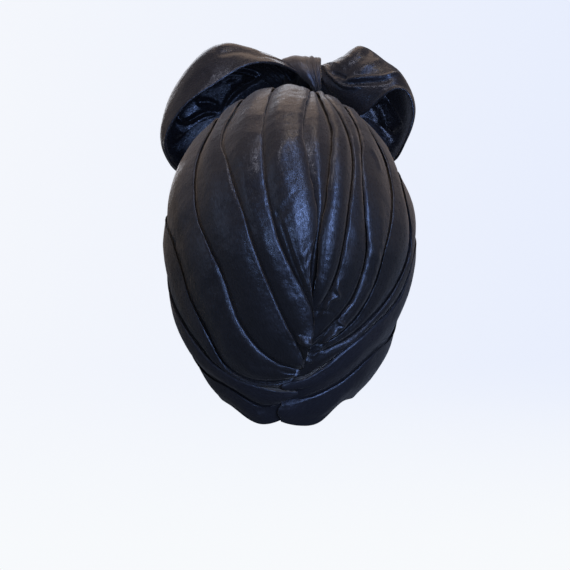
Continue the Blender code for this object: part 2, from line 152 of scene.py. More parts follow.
RIGHT_NAPE_ROLLS = (
    ((96, 2.0, 1.6), (60, 2.4, 2.6), (20, 2.6, 4.2), (-20, 2.4, 4.4), (-36, 2.4, 3.6)),
    ((20, 2.0, 1.4), (-5, 2.2, 2.4), (-20, 2.2, 3.4), (-55, 1.8, 3.0)),
)

# Bow: sections of each loop's cloth, from the top of the knot round to its bottom
BOW_POINTS = ("rear", "crease", "ridge", "fore", "front")
LEFT_LOOP = (
    ((-11, 245, -62), (-8, 249, -68), (-5.5, 252, -77), (-5.5, 246, -90), (-6.5, 238, -96)),
    ((8, 253, -46), (10, 257, -57), (12, 259, -73), (10, 246, -104), (8, 224, -110)),
    ((34, 252, -32), (37, 262, -46), (38, 267, -68), (34, 246, -117), (30, 210, -122)),
    ((62, 236, -24), (62, 256, -38), (60, 269, -66), (60, 240, -125), (56, 198, -128)),
    ((86, 220, -20), (88, 235, -36), (91, 242, -66), (87, 224, -123), (78, 194, -127)),
    ((103, 199, -22), (107, 205, -40), (108, 207, -66), (102, 202, -116), (90, 190, -122)),
    ((108, 180, -26), (110, 180, -44), (109, 180, -66), (104, 181, -106), (92, 187, -112)),
    ((99, 161, -36), (98, 158, -50), (96, 157, -70), (89, 167, -100), (83, 195, -106)),
    ((74, 166, -74), (72, 162, -82), (69, 161, -91), (66, 176, -104), (60, 206, -108)),
    ((44, 191, -92), (41, 188, -96), (38, 186, -101), (37, 198, -108), (34, 216, -108)),
    ((15, 219, -86), (13, 217, -90), (12, 216, -94), (12, 221, -100), (11, 228, -102)),
    ((-14, 229, -73), (-13, 226, -77), (-11, 224, -81), (-8, 226, -87), (-6, 230, -90)),
)
RIGHT_LOOP = (
    ((-32, 228, -64), (-32, 244, -62), (-32, 251, -77), (-32, 246, -90), (-32, 238, -96)),
    ((-46, 214, -58), (-45, 235, -48), (-49, 257, -73), (-47, 245, -104), (-45, 224, -110)),
    ((-68, 208, -38), (-62, 236, -38), (-67, 267, -72), (-64, 243, -114), (-61, 206, -119)),
    ((-88, 226, -26), (-80, 240, -35), (-84, 258, -70), (-80, 238, -118), (-77, 196, -122)),
    ((-103, 232, -23), (-98, 240, -34), (-99, 247, -66), (-95, 228, -116), (-88, 190, -120)),
    ((-112, 225, -22), (-112, 227, -40), (-111, 229, -64), (-104, 212, -110), (-93, 187, -115)),
    ((-115, 204, -24), (-115, 205, -42), (-113, 205, -64), (-106, 198, -102), (-94, 186, -105)),
    ((-107, 181, -30), (-106, 179, -46), (-104, 178, -66), (-97, 183, -96), (-86, 195, -98)),
    ((-96, 165, -52), (-93, 163, -62), (-89, 162, -76), (-83, 176, -96), (-75, 202, -100)),
    ((-67, 177, -82), (-64, 175, -89), (-60, 175, -96), (-58, 187, -103), (-54, 208, -104)),
    ((-46, 206, -88), (-45, 204, -92), (-44, 203, -97), (-43, 211, -102), (-42, 220, -103)),
    ((-32, 228, -73), (-32, 225, -77), (-32, 223, -81), (-32, 226, -87), (-32, 230, -90)),
)
# angle, y, z, left_x, right_x
KNOT_SECTIONS = (
    (0, -78, 258, 3, -32),
    (45, -64, 254, -2, -32),
    (90, -57, 242, -13, -32),
    (135, -60, 229, -24, -32),
    (180, -74, 221, -20, -31),
    (225, -91, 221, 0, -31),
    (270, -100, 237, 1, -31),
    (315, -94, 252, 1, -31),
)
KNOT_MIDDLE_X = -20.0
# share of the knot's width from its left side, half width, height
KNOT_FOLDS = (
    (0.28, 0.20, 1.4), (0.56, 0.05, 0.7), (0.71, 0.045, 1.6), (0.93, 0.07, 2.0), (0.82, 0.025, 0.6),
)

# Creases as seen from EYE: (height, half width, ((x, z), ...)); below zero is a groove
LEFT_INSIDE = (
    (4.4, 1.9, ((50.4, 247.7), (36.0, 246.8), (23.4, 241.4), (31.5, 236.0), (40.5, 229.7), (47.7, 222.5), (54.9, 210.8))),
    (-2.6, 3.0, ((58.5, 240.5), (44.1, 243.2), (31.5, 241.4))),
    (-1.8, 4.0, ((51.3, 234.2), (42.3, 236.9), (35.1, 238.7))),
    (4.2, 1.9, ((96.3, 212.6), (97.2, 204.5), (92.7, 200.9), (82.8, 202.7), (72.0, 208.1), (59.4, 209.0))),
    (-2.6, 3.0, ((80.1, 218.0), (67.5, 218.0), (57.6, 213.5))),
)
LEFT_OUTSIDE = (
    (1.6, 3.0, ((62.1, 263.9), (49.5, 268.4), (33.3, 266.6), (18.9, 261.2))),
    (-1.2, 2.4, ((61.2, 259.4), (45.9, 263.0), (29.7, 261.2), (15.3, 256.7))),
    (-1.0, 5.0, ((67.5, 246.8), (80.1, 236.0), (90.9, 221.6))),
)
RIGHT_OUTSIDE = (
    (2.4, 1.5, ((-47.7, 236.0), (-54.0, 237.8), (-63.0, 239.2), (-76.5, 240.5), (-90.0, 241.4), (-99.0, 243.2), (-106.2, 237.8))),
    (-2.2, 2.2, ((-54.0, 234.2), (-67.5, 235.6), (-83.7, 236.9), (-96.3, 238.7))),
    (2.4, 1.2, ((-34.2, 252.2), (-36.9, 245.0), (-43.2, 238.7), (-50.4, 233.3), (-58.5, 231.5), (-69.3, 232.4))),
    (-2.4, 2.0, ((-40.5, 244.1), (-47.7, 242.3), (-55.8, 237.8))),
    (1.4, 5.0, ((-38.7, 249.5), (-54.0, 254.9), (-64.8, 264.8), (-68.4, 270.2))),
    (-1.4, 4.0, ((-49.5, 245.0), (-60.3, 251.3), (-70.2, 259.4), (-78.3, 263.0))),
    (1.0, 3.0, ((-63.9, 242.3), (-72.9, 250.4), (-87.3, 255.8))),
)
RIGHT_INSIDE = (
    (3.0, 5.5, ((-81.0, 223.4), (-86.4, 210.8), (-91.8, 194.6), (-98.1, 176.6))),
    (-2.6, 2.0, ((-89.1, 225.2), (-96.3, 212.6), (-106.2, 193.7))),
    (2.0, 2.6, ((-75.6, 218.9), (-81.9, 212.6))),
)

LEFT_CREASES = (
    (4.0, 9.0, ((-21.0, 6.5), (-18.0, 0.0))),
    (-1.3, 1.3, ((10.8, 131.6), (5.4, 116.3), (-1.8, 95.6), (-8.1, 75.8), (-16.2, 56.0), (-20.7, 41.6))),
    (0.9, 1.3, ((8.1, 132.5), (1.8, 116.3), (-4.5, 97.4), (-10.8, 77.6), (-18.0, 58.7), (-22.5, 44.3))),
    (-1.2, 2.0, ((-5.4, 14.6), (-11.7, 1.1), (-14.4, -10.6))),
    (-0.8, 6.0, ((85.5, 118.1), (92.7, 102.8), (98.1, 88.4))),
)
RIGHT_CREASES = (
    (1.9, 1.6, ((-49.5, 59.6), (-46.8, 48.8), (-48.6, 45.2), (-41.4, 42.5), (-36.9, 33.5), (-27.9, 25.4))),
    (-1.6, 1.6, ((-43.2, 51.5), (-37.8, 43.4), (-32.4, 35.3))),
    (1.6, 1.6, ((-52.2, 29.0), (-47.7, 23.6), (-53.1, 18.2), (-47.7, 14.6))),
    (1.9, 1.8, ((-51.3, 11.0), (-42.3, 10.1), (-34.2, 1.1), (-26.1, -7.9), (-21.6, -14.2))),
    (-2.4, 1.9, ((-46.8, 21.8), (-41.4, 14.6), (-34.2, 6.5), (-27.0, 0.2), (-17.1, -7.0))),
    (1.6, 2.0, ((-16.2, -9.7), (-20.7, -14.2), (-26.1, -12.4))),
    (-1.4, 1.4, ((-27.9, 30.8), (-36.9, 31.7), (-45.9, 29.0))),
    (1.2, 1.4, ((-76.5, 178.4), (-81.9, 167.6), (-85.5, 156.8))),
)
RIGHT_NAPE_CREASES = (
    (0.9, 2.0, ((-29.7, -64.6), (-40.5, -57.4), (-52.2, -46.6))),
    (-0.8, 2.4, ((-0.9, -52.0), (-6.3, -51.1), (-13.5, -47.5))),
)
LEFT_NAPE_CREASES = (
    (0.9, 1.6, ((26.1, -61.0), (22.5, -62.8), (18.9, -60.1))),
)


# ---- curves ------------------------------------------------------------------

def natural_slopes(t, p):
    n = len(t)
    h = np.diff(t)
    a = np.zeros((n, n))
    b = np.zeros((n,) + p.shape[1:])
    d = np.diff(p, axis=0) / h[:, None]
    a[0, 0], a[0, 1] = 2 * h[0], h[0]
    b[0] = 3 * h[0] * d[0]
    a[-1, -1], a[-1, -2] = 2 * h[-1], h[-1]
    b[-1] = 3 * h[-1] * d[-1]
    for i in range(1, n - 1):
        a[i, i - 1], a[i, i], a[i, i + 1] = h[i], 2 * (h[i - 1] + h[i]), h[i - 1]
        b[i] = 3 * (h[i] * d[i - 1] + h[i - 1] * d[i])
    return np.linalg.solve(a, b)


def hermite(t, p, m, at):
    at = np.asarray(at, float)
    i = np.clip(np.searchsorted(t, at, side="right") - 1, 0, len(t) - 2)
    h = (t[i + 1] - t[i])[:, None]
    u = ((at - t[i]) / (t[i + 1] - t[i]))[:, None]
    return ((1 + 2 * u) * (1 - u) ** 2 * p[i] + u * (1 - u) ** 2 * h * m[i]
            + u * u * (3 - 2 * u) * p[i + 1] + u * u * (u - 1) * h * m[i + 1])


def spline(points, samples, closed=False):
    p = np.asarray(points, float)
    if closed:
        n = len(p)
        p = np.vstack([p[-3:], p, p[:4]])
    chord = np.linalg.norm(np.diff(p, axis=0), axis=1)
    t = np.concatenate([[0.0], np.cumsum(np.maximum(chord, 1e-9) ** 0.75)])
    slopes = natural_slopes(t, p)
    lo, hi = (t[3], t[3 + n]) if closed else (t[0], t[-1])
    fine = np.linspace(lo, hi, 801)
    q = hermite(t, p, slopes, fine)
    run = np.concatenate([[0.0], np.cumsum(np.linalg.norm(np.diff(q, axis=0), axis=1))])
    at = np.interp(np.asarray(samples) * run[-1], run, fine)
    return hermite(t, p, slopes, at)


def smooth(x, lo, hi):
    """0 below lo, 1 above hi, smooth between."""
    u = np.clip((x - lo) / (hi - lo), 0, 1)
    return u * u * (3 - 2 * u)


def unit(v):
    return v / np.maximum(np.linalg.norm(v, axis=-1, keepdims=True), 1e-12)


# ---- the smooth form ------------------------------------------------------------

FORM_Z, FORM_LEFT, FORM_RIGHT, FORM_MIDDLE, FORM_BACK, FORM_FRONT = np.array(FORM, float).T
FORM_SQUARES = np.column_stack([FORM_LEFT ** 2, FORM_RIGHT ** 2, FORM_MIDDLE,
                                (FORM_BACK - FORM_MIDDLE) ** 2,
                                (FORM_MIDDLE - FORM_FRONT) ** 2])
FORM_SLOPES = np.gradient(FORM_SQUARES, FORM_Z, axis=0)


def inside(p):
    z = np.clip(p[..., 2].ravel(), FORM_Z[0], FORM_Z[-1])
    c = hermite(FORM_Z, FORM_SQUARES, FORM_SLOPES, z)
    x, y = p[..., 0].ravel(), p[..., 1].ravel() - c[:, 2]
    wide = np.maximum(np.where(x > 0, c[:, 0], c[:, 1]), 1e-3)
    deep = np.maximum(np.where(y > 0, c[:, 3], c[:, 4]), 1e-3)
    f = x * x / wide + y * y / deep
    out = (np.maximum(p[..., 2].ravel() - FORM_Z[-1], 0)
           + np.maximum(FORM_Z[0] - p[..., 2].ravel(), 0))
    return (f + out).reshape(p.shape[:-1])


def reach(directions):
    lo = np.full(directions.shape[:-1], 5.0)
    hi = np.full(directions.shape[:-1], 260.0)
    for _ in range(26):
        mid = (lo + hi) / 2
        is_in = inside(CENTRE + directions * mid[..., None]) < 1
        lo, hi = np.where(is_in, mid, lo), np.where(is_in, hi, mid)
    return (lo + hi) / 2


def sight(x, z, y):
    k = (EYE[1] - y) / EYE[1]
    return np.array([x * k, y, EYE[2] + (z - EYE[2]) * k])


def as_seen(points):
    """Where points are seen from EYE in the plane y = 0: (x, z)."""
    k = EYE[1] / (EYE[1] - points[..., 1])
    return points[..., 0] * k, EYE[2] + (points[..., 2] - EYE[2]) * k


def seen_direction(x, z):
    depths = np.linspace(150.0, -60.0, 421)
    line = np.array([sight(x, z, y) for y in depths])
    f = inside(line)
    hits = np.nonzero(f < 1)[0]
    if len(hits) and hits[0] > 0:
        i = hits[0]
        u = (f[i - 1] - 1) / (f[i - 1] - f[i])
        point = line[i - 1] + u * (line[i] - line[i - 1])
    else:
        point = line[np.argmin(f)]
    return unit(point - CENTRE)


SEAM_SAMPLES = np.linspace(0, 1, 201)
BACK_CURVE = unit(spline(np.array([seen_direction(x, z) for x, z in BACK_SEAM]), SEAM_SAMPLES))
FRONT_CURVE = unit(spline(np.array([
    unit(np.array([x, float(np.interp(z, FORM_Z, FORM_FRONT)), z]) - CENTRE)
    for x, z in FRONT_SEAM]), SEAM_SAMPLES))
BACK_TABLE_Z = spline(np.array(BACK_SEAM, float), SEAM_SAMPLES)[:, 1]
FRONT_TABLE_Z = spline(np.array(FRONT_SEAM, float), SEAM_SAMPLES)[:, 1]


def along(curve, shares):
    return unit(np.column_stack([np.interp(shares, SEAM_SAMPLES, curve[:, k]) for k in range(3)]))


def share_at(heights, z):
    return float(np.interp(-z, -heights, SEAM_SAMPLES))


def fold_line(fold, shares):
    _, start_z, seen, beyond, front_z = fold
    points = [along(BACK_CURVE, [share_at(BACK_TABLE_Z, start_z)])[0]]
    points += [seen_direction(x, z) for x, z in seen]
    points += [unit(np.array(p, float) - CENTRE) for p in beyond]
    points.append(along(FRONT_CURVE, [share_at(FRONT_TABLE_Z, front_z)])[0])
    return unit(spline(points, shares))


# ---- noise -----------------------------------------------------------------------

def waves(x, seed, longest, shortest, terms=8):
    """Smooth noise of about unit size along x, with wavelengths in the unit of x."""
    rng = np.random.default_rng(seed)
    out = np.zeros_like(x, dtype=float)
    total = 0.0
    for _ in range(terms):
        length = math.exp(rng.uniform(math.log(shortest), math.log(longest)))
        size = math.sqrt(length)
        out += size * np.sin(2 * math.pi * x / length + rng.uniform(0, 6.283))
        total += size * size / 2
    return out / math.sqrt(total)


def swells(a, b, seed, length_a, length_b, terms=14):
    """Smooth noise of about unit size over two coordinates, stretched as its lengths are."""
    rng = np.random.default_rng(seed)
    out = np.zeros(np.broadcast(a, b).shape)
    for _ in range(terms):
        turn = rng.uniform(0, 2 * math.pi)
        much = math.exp(rng.uniform(-0.5, 0.5))
        out += np.sin(2 * math.pi * much * (math.cos(turn) * a / length_a + math.sin(turn) * b / length_b)
                      + rng.uniform(0, 6.283))
    return out * math.sqrt(2.0 / terms)


def grains(p, seed, length, terms=18):
    """Smooth noise of about unit size over points in space."""
    rng = np.random.default_rng(seed)
    out = np.zeros(p.shape[:-1])
    for _ in range(terms):
        k = unit(rng.normal(size=3)) * math.exp(rng.uniform(-0.4, 0.4))
        out += np.sin(2 * math.pi / length * (p @ k) + rng.uniform(0, 6.283))
    return out * math.sqrt(2.0 / terms)


# ---- creases, charted as seen from EYE --------------------------------------------

def crease_height(x, z, creases):
    """Height of charted creases over points seen at (x, z).

    A crease is (height, half width, ((x, z), ...)); it fades at both ends.
    """
    out = np.zeros(x.shape)
    for height, half, line in creases:
        line = np.array(line, float)
        q = spline(line, np.linspace(0, 1, 40)) if len(line) > 2 else np.linspace(line[0], line[-1], 12)
        run = np.concatenate([[0], np.cumsum(np.linalg.norm(np.diff(q, axis=0), axis=1))])
        near = ((x > q[:, 0].min() - 3 * half) & (x < q[:, 0].max() + 3 * half)
                & (z > q[:, 1].min() - 3 * half) & (z < q[:, 1].max() + 3 * half))
        if not near.any():
            continue
        px, pz = x[near], z[near]
        best = np.full(px.shape, 1e9)
        at = np.zeros(px.shape)
        for i in range(len(q) - 1):
            d = q[i + 1] - q[i]
            u = np.clip(((px - q[i, 0]) * d[0] + (pz - q[i, 1]) * d[1]) / max(d @ d, 1e-9), 0, 1)
            far = np.hypot(px - q[i, 0] - u * d[0], pz - q[i, 1] - u * d[1])
            closer = far < best
            best = np.where(closer, far, best)
            at = np.where(closer, (run[i] + u * (run[i + 1] - run[i])) / run[-1], at)
        fade = smooth(at, 0.0, 0.18) * (1 - smooth(at, 0.82, 1.0)) * 0.85 + 0.15
        out[near] += height * fade * np.exp(-(best / half) ** 2)
    return out


# ---- meshes ----------------------------------------------------------------------

def facing_out(points, faces):
    ids = np.array([(f[0], f[1], f[2], f[-1]) for f in faces])
    a, b, c, d = (points[ids[:, i]] for i in range(4))
    volume = np.sum(a * np.cross(b, c)) + np.sum(a * np.cross(c, d))
    return faces if volume > 0 else [tuple(reversed(f)) for f in faces]


def make_piece(name, points, faces, uvs, material, node):
    mesh = bpy.data.meshes.new(name)
    mesh.from_pydata([tuple(p * MM) for p in points], [], faces)
    layer = mesh.uv_layers.new(name="cloth")
    loops = np.zeros(len(mesh.loops), np.int32)
    mesh.loops.foreach_get("vertex_index", loops)
    layer.data.foreach_set("uv", (np.asarray(uvs)[loops] * MM).ravel())
    mesh.validate()
    mesh.shade_smooth()
    mesh.materials.append(material)
    obj = bpy.data.objects.new(name, mesh)
    bpy.context.scene.collection.objects.link(obj)
    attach(obj, "root")
    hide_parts(node)
    return obj


def ring_shell(rings, uvs, closed_rows=False):
    """A mesh of rings[row, column] with columns that run round and close.

    Unless the rows close too, the first and last ring are left open; this function adds no caps.
    """
    rows, cols = rings.shape[:2]
    points = rings.reshape(-1, 3)
    faces = []
    for j in range(rows if closed_rows else rows - 1):
        k = (j + 1) % rows
        for c in range(cols):
            d = (c + 1) % cols
            faces.append((j * cols + c, j * cols + d, k * cols + d, k * cols + c))
    return points, faces, uvs.reshape(-1, 2)


def cap(faces, ids_a, ids_b, flip):
    """Closes a slot between two rows of vertices with any number of vertices each."""
    i, j = 0, 0
    na, nb = len(ids_a), len(ids_b)
    while i < na - 1 or j < nb - 1:
        if j >= nb - 1 or (i < na - 1 and (i + 1) / (na - 1) <= (j + 1) / (nb - 1)):
            tri = (ids_a[i], ids_a[i + 1], ids_b[j])
            i += 1
        else:
            tri = (ids_a[i], ids_b[j + 1], ids_b[j])
            j += 1
        faces.append(tuple(reversed(tri)) if flip else tri)


# ---- the pleated wraps --------------------------------------------------------------

class Wrap:
    """Cross-sections of one wrap: columns of directions and heights along the folds."""

    def __init__(self, folds, rolls, seed):
        self.s = np.linspace(0, 1, STATIONS)
        self.folds = folds
        self.rolls = rolls
        self.seed = seed
        self.lines = [fold_line(f, self.s) for f in folds]
        self.points = [CENTRE + g * reach(g)[:, None] for g in self.lines]
        self.widths = [np.linalg.norm(self.points[k + 1] - self.points[k], axis=1)
                       for k in range(len(folds) - 1)]
        self.lengths = [np.concatenate([[0], np.cumsum(np.linalg.norm(np.diff(p, axis=0), axis=1))])
                        for p in self.points]

    def at(self, k, offset):
        """Direction at an offset in mm from fold k towards fold k + 1."""
        v = (offset / np.maximum(self.widths[k], 0.5))[:, None]
        return unit((1 - v) * self.lines[k] + v * self.lines[k + 1])

    def roll(self, k):
        """Width and height of fold k's roll at each station."""
        x, z = as_seen(self.points[k])
        rows = np.array(self.rolls[k], float)[::-1]
        shown = self.points[k][:, 1] > -15
        last = np.nonzero(shown)[0]
        zz = z.copy()
        if len(last):
            zz[last[-1]:] = z[last[-1]]
        width = np.interp(zz, rows[:, 0], rows[:, 1])
        high = np.interp(zz, rows[:, 0], rows[:, 2])
        return width, high


def end_fade(s):
    return (1 - 0.45 * np.maximum(0, 1 - s / 0.08)) * (1 - 0.45 * np.maximum(0, 1 - (1 - s) / 0.08))


def make_wrap(name, folds, rolls, puffs, material, seed, first_edge=True, rim=False,
              back_ends=(), front_ends=(), creases=(), first_sink=None):
    """back_ends and front_ends say how a wrap ends along its seam: rows of (z on the seam,
    how far the end reaches past the seam, how high it is lifted or how deep it is sunk)."""
    w = Wrap(folds, rolls, seed)
    s = w.s
    n = STATIONS
    pleats = len(folds) - 1
    ends = end_fade(s)
    hide = smooth(s, 0.0, 0.05) * (1 - smooth(s, 0.95, 1.0))
    dirs, high, u_at = [], [], []
    across = np.zeros(n)
    # the cloth dips before it goes under the next pleat
    sink_before = [1.5 * np.minimum(1, w.widths[k] / 14) * hide for k in range(pleats)]

    def column(direction, height, at):
        dirs.append(direction)
        high.append(height)
        u_at.append(at)

    for k in range(pleats):
        width = w.widths[k]
        arc = w.lengths[k]
        roll, edge = w.roll(k)
        wobble = 0.28 * waves(arc, seed + 17 * k, 90, 14) * hide
        roll = roll * (1 + 0.14 * waves(arc, seed + 31 * k + 5, 60, 9))
        edge = edge * ends * (1 + 0.05 * waves(arc, seed + 13 * k + 3, 80, 20))
        roll = np.minimum(roll, 0.42 * width)
        has_edge = first_edge or k > 0
        nose = np.minimum(1.7, 0.12 * width) if has_edge else np.full(n, -0.4)
        under = 0.9 + 0.6 * np.minimum(1, width / 12) * hide
        tip = under + 0.45
        if k > 0:
            depth = np.minimum(6.5, 0.38 * width) * hide + 0.25
            for share, h in ((0.5, 0.0), (0.92, 0.15), (1.0, 0.45), (0.9, 0.8), (0.5, 1.0)):
                column(w.at(k, depth * share), under * h - sink_before[k - 1] * (1 - h) - 0.2 * (1 - h),
                       across + depth * (share if h < 0.4 else 2 - share))
            across = across + 2 * depth
        if has_edge:
            for t in (0.0, 0.5, 0.85):
                a = t * math.pi / 2
                column(w.at(k, wobble - nose + (nose + 0.3) * (1 - math.sin(a))),
                       under + 0.45 * (1 - math.cos(a)), across)
            for i in range(ROLL_COLUMNS):
                a = i / ROLL_COLUMNS * math.pi / 2
                column(w.at(k, wobble * math.cos(a) - nose + roll * (1 - math.cos(a))),
                       tip + (edge - tip) * math.sin(a), across + roll * (1 - math.cos(a)))
            start = roll - nose
            top = edge
        else:
            start = -nose
            top = edge
        for i in range(FACE_COLUMNS + 1):
            t = i / FACE_COLUMNS
            o = start + (width - start) * t
            if i == FACE_COLUMNS:
                o = width - (0.4 if k == pleats - 1 else 0.0)
            low = 0.15
            puff = puffs[k] * ends * np.minimum(1, width / 12)
            face = low + (top - low) * (0.5 + 0.5 * math.cos(math.pi * t)) + puff * math.sin(math.pi * t) ** 1.5
            lift = math.sin(math.pi * t) ** 0.5 if has_edge else min(1, 2 * math.sin(math.pi * t))
            face = face + lift * np.minimum(1, width / 14) * (
                0.06 * swells(arc, o, seed + k, 110, 20) + 0.012 * swells(arc, o, seed + k + 50, 30, 8))
            if k < pleats - 1 or not rim:
                face = face - sink_before[k] * smooth(o, width - 4.5, width - 0.6)
            if first_sink is not None and k == 0:
                face = face - first_sink(w, t)
            column(w.at(k, o), face, across + o)
        across = across + width
    rim_columns = 0
    if rim:
        k = pleats - 1
        width = w.widths[k]
        for i in range(1, 9):
            a = i / 9 * math.pi
            column(w.at(k, width - 0.4 + 2.2 * math.sin(a)),
                   np.full(n, -WALL / 2) + (0.15 + WALL / 2) * math.cos(a), across + 3.0 * i / 9)
            rim_columns += 1

    grid = np.stack(dirs, axis=1)
    tall = np.stack(high, axis=1)
    u = np.stack(u_at, axis=1)

    # the ends follow the seams
    cols = grid.shape[1]
    seam_z = []
    for end, curve, table, fold_column in ((0, BACK_CURVE, BACK_TABLE_Z, 1),
                                           (-1, FRONT_CURVE, FRONT_TABLE_Z, 4)):
        marks = [share_at(table, f[fold_column]) for f in folds]
        position = []
        for c in range(cols):
            g = grid[end, c]
            line = along(curve, np.linspace(marks[0], marks[-1], 60))
            position.append(np.linspace(marks[0], marks[-1], 60)[np.argmax(line @ g)])
        target = along(curve, np.array(position))
        seam_z.append(np.interp(position, SEAM_SAMPLES, table))
        shift = target - grid[end]
        side = s if end == 0 else 1 - s
        fade = np.maximum(0, 1 - side / 0.14) ** 2
        grid = unit(grid + fade[:, None, None] * shift[None])

    # one side of each seam lies over the other
    v_along = np.stack([w.lengths[0]] * cols, axis=1)
    rows_before, rows_after = [], []
    lips = []
    for end, ends_table, z_end in ((0, back_ends, seam_z[0]), (-1, front_ends, seam_z[1])):
        side = s if end == 0 else 1 - s
        z_rows, lip_rows, lift_rows = np.array(ends_table, float).T
        lip = np.interp(-z_end, -z_rows, lip_rows)
        lift_end = np.interp(-z_end, -z_rows, lift_rows)
        lips.append(lip)
        near = 1 - smooth(side, 0.0, 0.06)[:, None]
        up, down = np.maximum(lift_end, 0)[None], np.minimum(lift_end, 0)[None]
        tall = tall + near * up
        sunk = np.clip(-down / 0.8, 0, 1)
        tall = tall * (1 - near * sunk) + near * down

    outer = CENTRE + grid * (reach(grid) + tall)[..., None]
    x, z = as_seen(outer)
    seen = outer[..., 1] > 0
    lift = np.zeros(outer.shape[:2])
    if len(creases):
        lift[seen] = crease_height(x[seen], z[seen], creases)
    fine = 0.02 * grains(outer, seed + 900, 7.0)
    outer = outer + grid * (lift + fine)[..., None]

    def beyond(end, distance, drop):
        a, b = (outer[0], outer[3]) if end == 0 else (outer[-1], outer[-4])
        tangent = unit(a - b)
        g = grid[0] if end == 0 else grid[-1]
        tangent = unit(tangent - g * np.sum(tangent * g, axis=1, keepdims=True))
        return a + tangent * distance - g * drop

    inner_columns = 6 * pleats + 1
    spread = np.linspace(0, 1, inner_columns)
    inner_dirs = []
    for q in spread:
        f = q * pleats
        k = min(int(f), pleats - 1)
        width = w.widths[k]
        o = np.clip((f - k) * width, 0.4, width - 0.4)
        inner_dirs.append(w.at(k, o))
    inner_grid = np.stack(inner_dirs, axis=1)
    for end, curve, table, fold_column in ((0, BACK_CURVE, BACK_TABLE_Z, 1),
                                           (-1, FRONT_CURVE, FRONT_TABLE_Z, 4)):
        marks = [share_at(table, f[fold_column]) for f in folds]
        target = along(curve, np.interp(spread * pleats, range(len(folds)), marks))
        shift = target - inner_grid[end]
        side = s if end == 0 else 1 - s
        fade = np.maximum(0, 1 - side / 0.14) ** 2
        inner_grid = unit(inner_grid + fade[:, None, None] * shift[None])
    inner = CENTRE + inner_grid * (reach(inner_grid) - WALL)[..., None]
    inner = inner + inner_grid * (0.12 * grains(inner, seed + 500, 16.0))[..., None]

    # extra rows where an end lies over its neighbour: out, round and back under
    lead, tail = [], []
    for end, reach_out, store in ((0, lips[0], lead), (-1, lips[1], tail)):
        if not reach_out.any():
            continue
        for x_share, x_more, drop in ((0.5, 0, 0.0), (1.0, -0.9, 0.1), (1.0, -0.35, 0.4), (1.0, 0, 0.85),
                                      (1.0, -0.35, 1.3), (1.0, -0.9, 1.6), (0.3, -0.6, 1.7)):
            distance = np.where(reach_out > 1.2, reach_out * x_share + x_more, reach_out * x_share)[:, None]
            store.append(beyond(end, distance, drop))
    body = [outer]
    ubody = [u]
    vbody = [v_along]
    if lead:
        body.insert(0, np.stack(lead[::-1]))
        ubody.insert(0, np.repeat(u[:1], len(lead), axis=0))
        vbody.insert(0, np.repeat(v_along[:1], len(lead), axis=0) - np.arange(len(lead), 0, -1)[:, None])
    if tail:
        body.append(np.stack(tail))
        ubody.append(np.repeat(u[-1:], len(tail), axis=0))
        vbody.append(np.repeat(v_along[-1:], len(tail), axis=0) + np.arange(1, len(tail) + 1)[:, None])
    skin = np.concatenate(body)
    skin_u = np.concatenate(ubody)
    skin_v = np.concatenate(vbody)
    rows = len(skin)
    points = np.concatenate([skin.reshape(-1, 3), inner.reshape(-1, 3)])
    inner_u = np.linspace(0, 1, inner_columns)[None] * u[:, -1:]
    inner_v = np.stack([w.lengths[0]] * inner_columns, axis=1)
    uvs = np.concatenate([np.stack([skin_u, skin_v], axis=-1).reshape(-1, 2),
                          np.stack([inner_u, inner_v], axis=-1).reshape(-1, 2)])
    base = rows * cols
    faces = []
    for j in range(rows - 1):
        for c in range(cols - 1):
            a = j * cols + c
            faces.append((a, a + 1, a + cols + 1, a + cols))
    m = inner_columns
    for j in range(n - 1):
        for c in range(m - 1):
            a = base + j * m + c
            faces.append((a, a + m, a + m + 1, a + 1))
    # long sides: the skin may have more rows than the inner face
    for c_out, c_in, flip in ((0, 0, True), (cols - 1, m - 1, False)):
        first, last = len(lead), len(lead) + n - 1
        for j in range(n - 1):
            a, b = (first + j) * cols + c_out, (first + j + 1) * cols + c_out
            d, e = base + j * m + c_in, base + (j + 1) * m + c_in
            faces.append((a, b, e, d) if flip else (a, d, e, b))
        for j in range(first):
            a, b = j * cols + c_out, (j + 1) * cols + c_out
            d = base + c_in
            faces.append((a, b, d) if flip else (a, d, b))
        for j in range(last, rows - 1):
            a, b = j * cols + c_out, (j + 1) * cols + c_out
            d = base + (n - 1) * m + c_in
            faces.append((a, b, d) if flip else (a, d, b))
    cap(faces, [c for c in range(cols)], [base + c for c in range(m)], True)
    cap(faces, [(rows - 1) * cols + c for c in range(cols)],
        [base + (n - 1) * m + c for c in range(m)], False)
    obj = make_piece(name, points, facing_out(points, faces), uvs, material, name_of[name])
    surface = float(np.mean([p.area for p in obj.data.polygons]) * len(obj.data.polygons))
    length = float(np.mean([a[-1] for a in w.lengths])) * MM
    wide = float(np.median(u[:, -1])) * MM
    return obj, surface, length, wide


name_of = {
    "left_crown_cloth": "left_crown_wrap",
    "right_crown_cloth": "right_crown_wrap",
    "left_nape_cloth": "left_nape_wrap",
    "right_nape_cloth": "right_nape_wrap",
    "left_loop_cloth": "bow_left_loop",
    "right_loop_cloth": "bow_right_loop",
    "knot_cloth": "bow_knot",
}


# ---- the bow ------------------------------------------------------------------------

def grid_normals(grid):
    du = np.gradient(grid, axis=0)
    dv = np.gradient(grid, axis=1)
    return unit(np.cross(du, dv))


def soften(field, rounds=14):
    """The field averaged with its neighbours again and again."""
    out = field
    for _ in range(rounds):
        p = np.pad(out, 1, mode="edge")
        out = (p[:-2, 1:-1] + p[2:, 1:-1] + p[1:-1, :-2] + p[1:-1, 2:] + 2 * out) / 6
    return out


